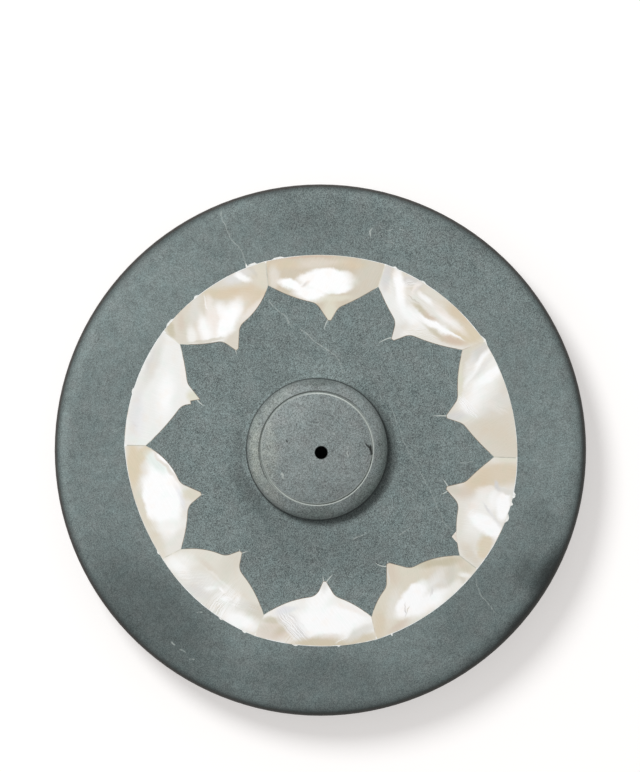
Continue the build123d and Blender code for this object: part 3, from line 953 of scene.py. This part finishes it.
        Stroke((252.2, 33.6), (256, 32.9), 0.6, Tint.OLIVE, 0.7),
        Stroke((256.8, 34.8), (259, 33.5), 0.8, Tint.OLIVE, 0.6, 0.7),
        Stroke((259.5, 36.6), (261.2, 34.9), 0.9, Tint.CREAM, 0.8, 0.6, 3),
        Stroke((266, 32.6), (280, 32.2), 2.9, Tint.BRIGHT, 1, 0.35),
        Stroke((267, 29.8), (272, 26), 1.7, Tint.BRIGHT),
        Stroke((265, 35.8), (256.5, 31.6), 1.3, Tint.LILAC_GREY, 0.75, 0.45),
        Stroke((265, 35.8), (256.8, 31.8), 1.4, Tint.BRIGHT, 0.85, 0.4, 7),
        Stroke((254.6, 31.7), (260, 30.2), 0.5, Tint.LAVENDER, 0.7),
        Stroke((263, 36.8), (275, 36.7), 1.15, Tint.KHAKI, 1, 0.4),
        Stroke((274, 36.8), (286, 36.5), 1.1, Tint.KHAKI, 0.9, 0.5),
        Stroke((267.5, 35.5), (275, 35.3), 0.6, Tint.ROSE, 0.5, 0.7),
        Stroke((275, 36.2), (279, 34.9), 0.35, Tint.BRIGHT, 0.8, 0.5, 3),
        Stroke((279, 35.6), (285.6, 34.6), 0.8, Tint.GREY_WHITE),
        Stroke((278, 29.6), (285, 31.8), 0.5, Tint.ROSE_WHITE, 0.6, 0.7),
        Stroke((271, 26), (271.2, 24.6), 0.8, Tint.GREY_WHITE, 0.7, 0.7),
    )),
    PearlShell("pearl_petal_09", Tint.CREAM, 290, (
        Stroke((287.2, 36.4), (289, 33), 1.1, Tint.TAN, 0.7, 0.7),
        Stroke((291.5, 36.4), (297, 36.2), 0.7, Tint.ROSE),
        Stroke((293, 33.6), (297.5, 30.6), 1.1, Tint.PALE, 0.75, 0.7),
        Stroke((308, 34.2), (314.5, 33.6), 1.8, Tint.GREY_WHITE),
        Stroke((306.5, 32.6), (312.5, 32.2), 0.9, Tint.FROST, 0.8, 0.7),
        Stroke((314.8, 34.2), (318, 32.8), 0.9, Tint.SHELL_GREY, 0.75, 0.7),
        Stroke((300, 36.2), (318.5, 36.6), 1.2, Tint.MILK, 0.75, 0.5),
        Stroke((299, 34.6), (308.4, 35), 1.5, Tint.BRIGHT, 0.95, 0.45),
        Stroke((297, 33.6), (304.5, 32), 1.8, Tint.BRIGHT, 1, 0.25),
        Stroke((303, 31.4), (303.6, 30.9), 0.7, Tint.BRIGHT, 1, 0.4),
        Stroke((296.9, 34.9), (298.6, 33), 0.16, Tint.LILAC_GREY, 0.9, 0.5),
        Stroke((297.8, 34.6), (299.2, 33.8), 0.12, Tint.SHELL_GREY, 0.7, 0.5),
        Stroke((306.8, 34), (308.6, 33.3), 0.22, Tint.LILAC_GREY, 0.6),
        Stroke((317, 36.3), (318.2, 35.4), 0.45, Tint.SHELL_GREY, 0.6, 0.5),
        Stroke((318.6, 35), (319.6, 36), 0.45, Tint.MILK, 0.9, 0.7),
        Stroke((309, 31.6), (315, 31.6), 0.9, Tint.ROSE, 0.25, 0.7),
        Stroke((320.8, 32.8), (311.5, 28.7), 0.85, Tint.OLIVE, 1),
        Stroke((321, 35.4), (320.8, 33.6), 0.6, Tint.BROWN_ROSE, 0.3),
        Stroke((299.5, 27.6), (300, 25), 1.3, Tint.BROWN_ROSE, 0.4, 0.7),
        Stroke((296.4, 28), (299.4, 25.4), 0.18, Tint.GREY_WHITE, 0.7),
    )),
    PearlShell("pearl_petal_10", Tint.PALE, 350, (
        Stroke((323.8, 36.3), (325.8, 32.2), 1.1, Tint.OAT),
        Stroke((326.5, 33.4), (330, 31.2), 1.2, Tint.OAT, 0.5, 0.7),
        Stroke((327.2, 36.2), (331.2, 35.4), 1.1, Tint.GOLD, 0.85, 0.35),
        Stroke((328.5, 34.6), (331, 34.4), 0.6, Tint.GOLD, 0.6),
        Stroke((333, 32), (344, 32.4), 2.2, Tint.MILK, 0.8, 0.5),
        Stroke((334.6, 36.6), (336.2, 31.8), 1.55, Tint.BRIGHT, 1, 0.3),
        Stroke((340.6, 36), (345.2, 35.4), 1.35, Tint.BRIGHT, 1, 0.3),
        Stroke((342, 33.8), (345.6, 33.6), 0.9, Tint.BRIGHT, 0.6),
        Stroke((353.6, 36.8), (350.4, 30.2), 2.3, Tint.TAN, 0.85, 0.45),
        Stroke((350.5, 31), (345.6, 28.6), 1.4, Tint.TAN),
        Stroke((347, 32.6), (345.6, 31), 0.7, Tint.ROSE_WHITE, 0.6),
        Stroke((357.2, 36.6), (357.2, 33.4), 0.4, Tint.GREEN_CREAM, 0.8),
        Stroke((347.3, 36.8), (347.2, 34.4), 0.55, Tint.GREY_WHITE, 0.95, 0.5),
        Stroke((336.9, 36.3), (341.6, 32.2), 0.25, Tint.LAVENDER, 0.45),
        Stroke((339.4, 33.8), (341.2, 32.4), 0.2, Tint.LILAC_GREY, 0.5),
        Stroke((347.6, 34), (349.6, 33.3), 0.45, Tint.LILAC_GREY),
        Stroke((337, 29.8), (341.5, 31), 0.9, Tint.ROSE_WHITE, 0.8, 0.6, 5),
        Stroke((328, 30.2), (338, 28.2), 0.6, Tint.BONE, 0.6, 0.7),
        Stroke((343, 28), (343.2, 25), 1.3, Tint.ROSE, 0.8, 0.7),
        Stroke((343, 26.2), (343.2, 24.7), 0.7, Tint.SHELL_GREY, 0.8),
    )),
)

def dress(node: str, finish: Finish) -> None:
    """Puts a finish in every material slot of a CAD node.

    Args:
        node: The node's name.
        finish: The finish.
    """
    material = finish.material()
    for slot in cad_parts[node].material_slots:
        slot.material = material
    log.info("%s is dressed in %s", node, material.name)


@dataclass
class StoneDisc:
    """The round stone slab that carries everything else, with its marks where they are on the real one."""

    node: str = "stone_disc"
    body: Colour = linear(115, 126, 125)
    line_tint: Colour = linear(180, 188, 184)
    patches: tuple[Patch, ...] = (
        Patch((-31, -31), (20, 9), 135, 0.58),
        Patch((0, -43), (22, 6), 0, 0.72),
        Patch((31, -30), (16, 8), 45, 0.78),
        Patch((0, -19), (16, 6), 0, 0.86),
        Patch((19, 0), (6, 14), 0, 0.97),
        Patch((-19, 2), (6, 13), 0, 1.06),
        Patch((-31, 30), (18, 7), 45, 1.13),
        Patch((43, 4), (6, 16), 0, 1.1),
        Patch((42.3, -15), (4, 6), 20, 0.82),
        Patch((2, 43), (14, 5), 0, 0.88),
        # These four are painted shade on the rounded rim: on the lamp's side, and darker on the side away
        # from it.
        Patch((-34.8, 34.8), (17, 2.2), 45, 0.76),
        Patch((34.8, -34.8), (17, 2.2), 45, 0.8),
        Patch((37.6, -32.2), (7, 1.5), 49, 0.42),
        Patch((42.9, -23.4), (7, 2.7), 61, 0.3),
        Patch((39.2, -22.6), (4.5, 3), 60, 0.66),
        Patch((0, -48.6), (10, 2.2), 0, 0.86),
        Patch((-37.2, -31.2), (7, 2), -50, 0.86),
        Patch((-8.4, 47.6), (6, 2.6), 10, 0.84),
        Patch((24.1, 41.7), (12, 2), -30, 0.87),
        Patch((0, 48.2), (12, 2), 0, 0.9),
        Patch((-24.4, 42.3), (9, 2.4), 30, 0.8),
        Patch((48.2, 0), (1.2, 14), 0, 1.12),
        Patch((-48.2, 0), (1.2, 14), 0, 1.13),
        # Painted light beside the boss on the lamp's side, and painted shade round its foot to the left and
        # lower left.
        Patch((1, 15.2), (9, 2.2), -8, 1.16),
        Patch((-15.1, -0.5), (1.8, 5), 0, 0.83),
        Patch((-13, -8.4), (9, 1.9), -55, 0.76),
        Patch((-11, -11.5), (10, 4.5), -45, 0.88),
    )
    veins: tuple[Vein, ...] = (
        Vein(((-18.8, 45.4), (-17.4, 41), (-17, 39.9), (-15.3, 38), (-13.9, 34.9)), 0.11, 0.48),
        Vein(((-9.84, 28.1), (-6.55, 24.9), (-5.9, 23.9)), 0.11, 0.52),
        Vein(((-5.9, 23.9), (-4.7, 22.6)), 0.11, 0.25),
        Vein(((-3.7, 22.8), (-1.72, 21.1), (1, 18.95), (2.75, 17.75), (3.7, 16.6)), 0.11, 0.55),
        Vein(((3.7, 16.6), (4.1, 14.6)), 0.12, 0.3),
        Vein(((12.8, 9.3), (15.8, 1.5), (20.2, -6.8), (23.1, -13.3), (24.7, -15.1)), 0.1, 0.34),
        Vein(((29.1, -24.2), (30, -26.8), (32.7, -30.4)), 0.11, 0.4),
    )
    scratches: tuple[Vein, ...] = (
        Vein(((9.3, 40.2), (9.35, 41), (9.6, 41.5)), 0.12, 0.85),
        Vein(((10.9, 42.3), (11.7, 41.6)), 0.1, 0.4),
        Vein(((12.6, 41.3), (13.5, 41.6)), 0.1, 0.45),
        Vein(((14.7, 41.6), (15.6, 41.4)), 0.1, 0.45),
        Vein(((12.3, 39.2), (13.6, 38.8)), 0.12, 0.5),
        Vein(((6.2, -16.7), (8.5, -15.6)), 0.1, 0.5),
        Vein(((14.8, -16), (17, -14.5)), 0.1, 0.5),
        Vein(((26.3, -2.4), (28.8, -2.1)), 0.09, 0.5),
        Vein(((23.5, 14.4), (25, 12.2)), 0.09, 0.35),
        Vein(((-28, -36), (-27.4, -36.4)), 0.16, 0.65),
        Vein(((-26.3, -37.4), (-25.6, -37.9)), 0.14, 0.6),
        Vein(((-23.3, -30.6), (-22.5, -30.5)), 0.14, 0.8),
        Vein(((-24.5, -39.2), (-23.7, -39.4)), 0.14, 0.6),
    )

    def build(self) -> None:
        """Dresses the disc."""
        lines = self.veins + self.scratches
        dress(self.node, DiscStone("disc_stone_honed", self.body, self.line_tint, self.patches, lines))


@dataclass
class CentreBoss:
    """The low turned knob in the middle, with its marks, and the cement film under it."""

    node: str = "centre_boss"
    film_node: str = "boss_cement"
    body: Colour = linear(126, 134, 133)
    line_tint: Colour = linear(190, 197, 192)
    film_tint: Colour = linear(70, 72, 70)
    grain_depth: float = 1.2
    patches: tuple[Patch, ...] = (
        # Painted light on the side towards the lamp, and painted shade on the lower side.
        Patch((-6, 5.5), (7, 5), 40, 1.12),
        Patch((0, -9), (9, 4), 0, 0.88),
    )
    smears_and_shade: tuple[SmearAndShade, ...] = (
        # Pale and warm on the left of the boss, the side the lamp lights: dust with painted light.
        SmearAndShade((-12.2, 0), (1.4, 7.5), 0, linear(160, 165, 154), 0.55),
        SmearAndShade((-8.6, 8.9), (5, 1.4), 45, linear(140, 145, 136), 0.3),
        SmearAndShade((-9.7, -7.2), (5, 1.5), -52, linear(146, 151, 142), 0.35),
        SmearAndShade((-9.6, -0.5), (1.9, 7.5), 0, linear(154, 158, 150), 0.5),
        SmearAndShade((-0.4, 12.7), (3.4, 0.9), 0, linear(66, 76, 71), 0.55),
        # Dark and greenish on the rolled edge's side away from the lamp: green mottling with painted shade.
        SmearAndShade((11.8, -1), (1.4, 8), 0, linear(90, 105, 98), 0.4),
        SmearAndShade((8.6, -7.9), (5, 1.8), 48, linear(80, 95, 88), 0.5),
        SmearAndShade((-0.4, -11.9), (6, 1.5), 0, linear(86, 99, 92), 0.45),
    )
    scratches: tuple[Vein, ...] = (
        Vein(((5.25, 0.3), (5.25, -1.2)), 0.09, 0.6),
        Vein(((-7.4, -4.4), (-7, -4.7)), 0.2, 0.7),
        Vein(((-7.1, -5), (-6.8, -5.3)), 0.16, 0.6),
        Vein(((2.4, 3.2), (2.6, 3)), 0.14, 0.5),
        Vein(((-9.8, 4.7), (-9.6, 4.5)), 0.16, 0.45),
        Vein(((-9.5, -1.3), (-9.3, -1.6)), 0.14, 0.5),
    )
    flecks: tuple[Vein, ...] = (
        Vein(((8.55, 1.2), (9, 0.75), (9.4, 0.1)), 0.17, 0.9),
        Vein(((9.35, 0.9), (9.4, 0.3)), 0.2, 0.85),
        Vein(((9.4, 0.4), (9.6, -0.7)), 0.2, 0.9),
        Vein(((9.5, -1.5), (9.35, -2.5)), 0.1, 0.5),
        Vein(((-6.35, 1.9), (-6.2, 1.7)), 0.16, 0.75),
    )

    def build(self) -> None:
        """Dresses the boss and its cement film."""
        stone = BossStone(
            "boss_stone_honed",
            self.body,
            self.line_tint,
            self.patches,
            self.scratches,
            fine_depth=self.grain_depth,
            smears_and_shade=self.smears_and_shade,
            flecks=self.flecks,
        )
        dress(self.node, stone)
        dress(self.film_node, Cement("boss_film_cement", inner_tint=self.film_tint))


@dataclass
class PetalRing:
    """The ring of pearl petals, the cement that beds them and the filler in the saw cuts."""

    cement_node: str = "inlay_cement"
    filler_node: str = "overcut_filler"

    def build(self) -> None:
        """Dresses the petals, the cement and the filler."""
        for shell in PETALS:
            dress(shell.name, shell)
        dress(self.cement_node, Cement("inlay_cement_pale"))
        dress(self.filler_node, WhiteFiller("overcut_filler_white"))


@dataclass
class Studio:
    """The pale floor, the soft light and the camera that looks straight down.

    The distances of the lamp and the camera, the camera's clipping and the floor's half width are in
    metres. The disc's centre is its place in the picture, in pixels.
    """

    key_share: float = 0.55
    sky_share: float = 0.45
    key_azimuth: float = 128.4
    key_height: float = 47.0
    key_spread: float = 22.0
    key_distance: float = 1.2
    floor_half: float = 3.0
    floor_drop: float = 0.02
    floor_colour: float = 0.62
    floor_glow: float = 0.46
    glow_tint: Colour = (1.0, 0.955, 0.93)
    camera_distance: float = 1.6
    camera_clip: Point = (0.1, 20.0)
    sensor_width: float = 36.0
    pixel: float = 0.18815
    disc_centre: Point = (320.4, 450.1)
    rim_height: float = 6.7

    @staticmethod
    def seen(sheet: NodeSheet) -> Signal:
        """Whether a ray comes from the camera, a reflection or a clear material.

        Args:
            sheet: The node sheet.

        Returns:
            1 for such a ray, 0 for one that only brings light.
        """
        names = ("Is Camera Ray", "Is Glossy Ray", "Is Transmission Ray")
        return reduce(Signal.most, [sheet.node("ShaderNodeLightPath", None, None, name) for name in names])

    def light_sky(self) -> None:
        """Makes the even sky, which looks white and lights softly."""
        world = bpy.data.worlds.new("studio_sky")
        world.use_nodes = True
        sheet = NodeSheet(world.node_tree)
        strength = self.seen(sheet) * (1.0 - self.sky_share) + self.sky_share
        sky = sheet.node("ShaderNodeBackground", None, {"Color": (1.0, 1.0, 1.0), "Strength": strength})
        sheet.show(sky, "ShaderNodeOutputWorld")
        bpy.context.scene.world = world

    def light_key(self) -> None:
        """Hangs the soft key lamp where the shadow in the picture says that it was."""
        azimuth = radians(self.key_azimuth)
        height = radians(self.key_height)
        aim = Vector((cos(azimuth) * cos(height), sin(azimuth) * cos(height), sin(height)))
        lamp = bpy.data.lights.new("key_lamp", "AREA")
        lamp.shape = "DISK"
        lamp.size = 2 * self.key_distance * sin(radians(self.key_spread / 2))
        lamp.energy = self.key_share * pi ** 2 * self.key_distance ** 2 / sin(height)
        hung = bpy.data.objects.new("key_lamp", lamp)
        hung.location = aim * self.key_distance
        hung.rotation_euler = aim.to_track_quat("Z", "Y").to_euler()
        bpy.context.scene.collection.objects.link(hung)

    def lay_floor(self) -> None:
        """Lays the pale floor, which keeps the holder's shadow."""
        mesh = bpy.data.meshes.new("studio_floor")
        shape = bmesh.new()
        bmesh.ops.create_grid(shape, x_segments=2, y_segments=2, size=self.floor_half)
        bmesh.ops.translate(shape, verts=shape.verts, vec=(0.0, 0.0, -self.floor_drop * MM))
        shape.to_mesh(mesh)
        shape.free()
        floor = bpy.data.objects.new("studio_floor", mesh)
        bpy.context.scene.collection.objects.link(floor)
        paper = bpy.data.materials.new("floor_paper")
        paper.use_nodes = True
        sheet = NodeSheet(paper.node_tree)
        grey = (self.floor_colour, self.floor_colour, self.floor_colour)
        matt = sheet.node("ShaderNodeBsdfDiffuse", None, {"Color": grey})
        glow = {"Color": self.glow_tint, "Strength": self.seen(sheet) * self.floor_glow}
        lit = sheet.node("ShaderNodeEmission", None, glow)
        sheet.show(sheet.node("ShaderNodeAddShader", None, {0: matt, 1: lit}))
        mesh.materials.append(paper)

    def set_camera(self) -> None:
        """Sets the camera straight above, framed as the picture is."""
        camera = bpy.data.cameras.new("top_camera")
        camera.sensor_width = self.sensor_width
        frame_height = IMAGE_HEIGHT * self.pixel * MM
        camera.lens = self.sensor_width * self.camera_distance / frame_height
        camera.clip_start, camera.clip_end = self.camera_clip
        hung = bpy.data.objects.new("top_camera", camera)
        across = (IMAGE_WIDTH / 2 - self.disc_centre[0]) * self.pixel * MM
        along = (self.disc_centre[1] - IMAGE_HEIGHT / 2) * self.pixel * MM
        hung.location = (across, along, self.rim_height * MM + self.camera_distance)
        bpy.context.scene.collection.objects.link(hung)
        bpy.context.scene.camera = hung

    def build(self) -> None:
        """Sets up the floor, the lights and the camera."""
        self.light_sky()
        self.light_key()
        self.lay_floor()
        self.set_camera()
        bpy.context.scene.view_settings.view_transform = "Standard"
        log.info("the studio is set up")


def main() -> None:
    """Dresses the holder piece by piece, and sets up the studio round it."""
    logging.basicConfig(level=logging.INFO)
    StoneDisc().build()
    CentreBoss().build()
    PetalRing().build()
    Studio().build()


if __name__ == "__main__":
    main()
